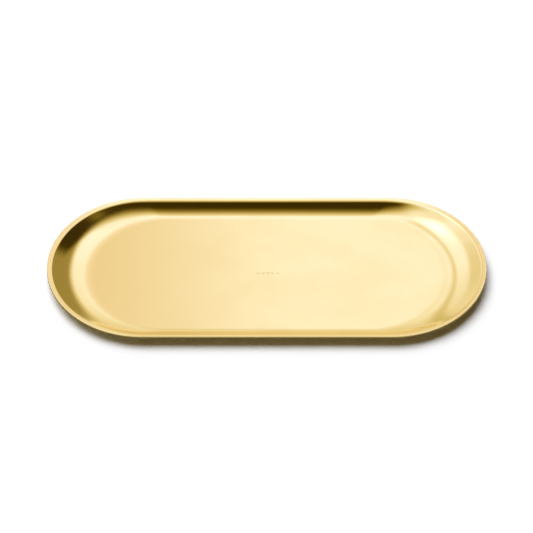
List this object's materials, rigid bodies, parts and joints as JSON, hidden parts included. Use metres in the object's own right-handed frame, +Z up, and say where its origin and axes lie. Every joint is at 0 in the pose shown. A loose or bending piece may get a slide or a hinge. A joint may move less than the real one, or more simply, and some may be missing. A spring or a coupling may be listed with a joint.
{
  "type": "tray",
  "caption": "Shallow pressed brass tray with straight sides, round ends and a thin outward lip; carries small things on a table.",
  "frame": {"origin": "middle of the flat underside, on the plane the tray stands on", "axes": "+X along the tray's length, +Y across it, +Z up"},
  "size_m": [0.3004, 0.1326, 0.0087],
  "materials": {
    "brass": "polished, with a fine satin brushing"
  },
  "bodies": {
    "root": {"tray": "brass"}
  },
  "joints": []
}
